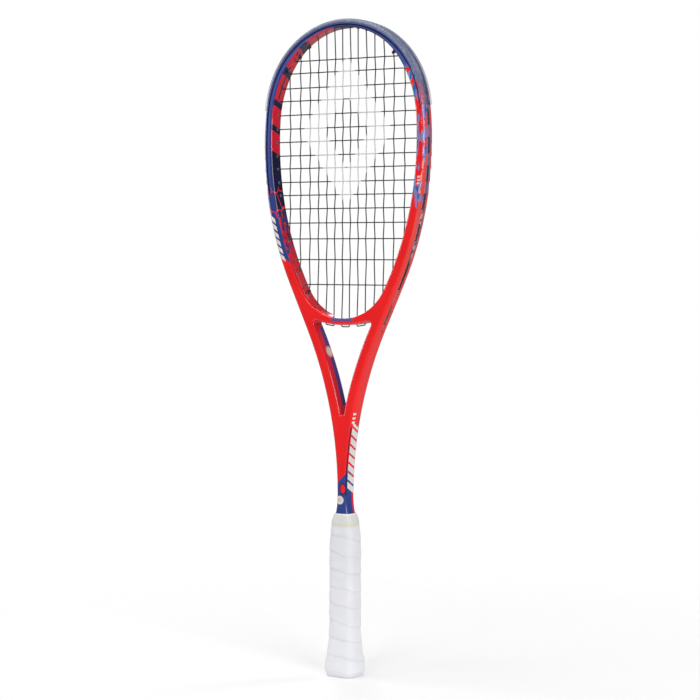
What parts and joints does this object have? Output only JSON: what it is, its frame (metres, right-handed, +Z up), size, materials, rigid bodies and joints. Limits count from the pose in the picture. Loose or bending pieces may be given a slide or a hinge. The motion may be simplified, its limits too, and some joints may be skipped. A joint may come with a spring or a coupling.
{
  "type": "squash racket",
  "caption": "Squash racket with a teardrop hollow frame, open throat, woven string bed, clear ribbed head bumper and a wound cushioned grip.",
  "frame": {"origin": "middle of the butt's resting face", "axes": "+Z up the handle to the head, X across the strings, -Y the way the seen side of the string bed faces"},
  "size_m": [0.1976, 0.0344, 0.686],
  "materials": {
    "frame_paint": "gloss lacquer over carbon composite, red with blue fades",
    "foam": "rigid moulded foam",
    "bumper_clear": "smoky translucent nylon, ribbed",
    "grommet_clear": "clear moulded nylon",
    "string": "coated multifilament string",
    "cap_plastic": "moulded white plastic",
    "staple_steel": "bright steel wire",
    "backing_tape": "double-sided tape",
    "grip_white": "cushioned polyurethane grip tape",
    "finishing_tape": "vinyl tape"
  },
  "bodies": {
    "root": {"frame": "frame_paint", "throat_bridge": "frame_paint", "bridge_core": "foam", "shaft_plug": "foam", "head_bumper": "bumper_clear", "grommet_strip_left": "grommet_clear", "grommet_strip_right": "grommet_clear", "grommet_strip_bridge": "grommet_clear", "main_string": "string", "cross_string": "string", "handle_pallet": "foam", "butt_cap": "cap_plastic", "staple_front": "staple_steel", "staple_back": "staple_steel", "grip_backing": "backing_tape", "grip_wrap": "grip_white", "finishing_tape": "finishing_tape"}
  },
  "joints": []
}
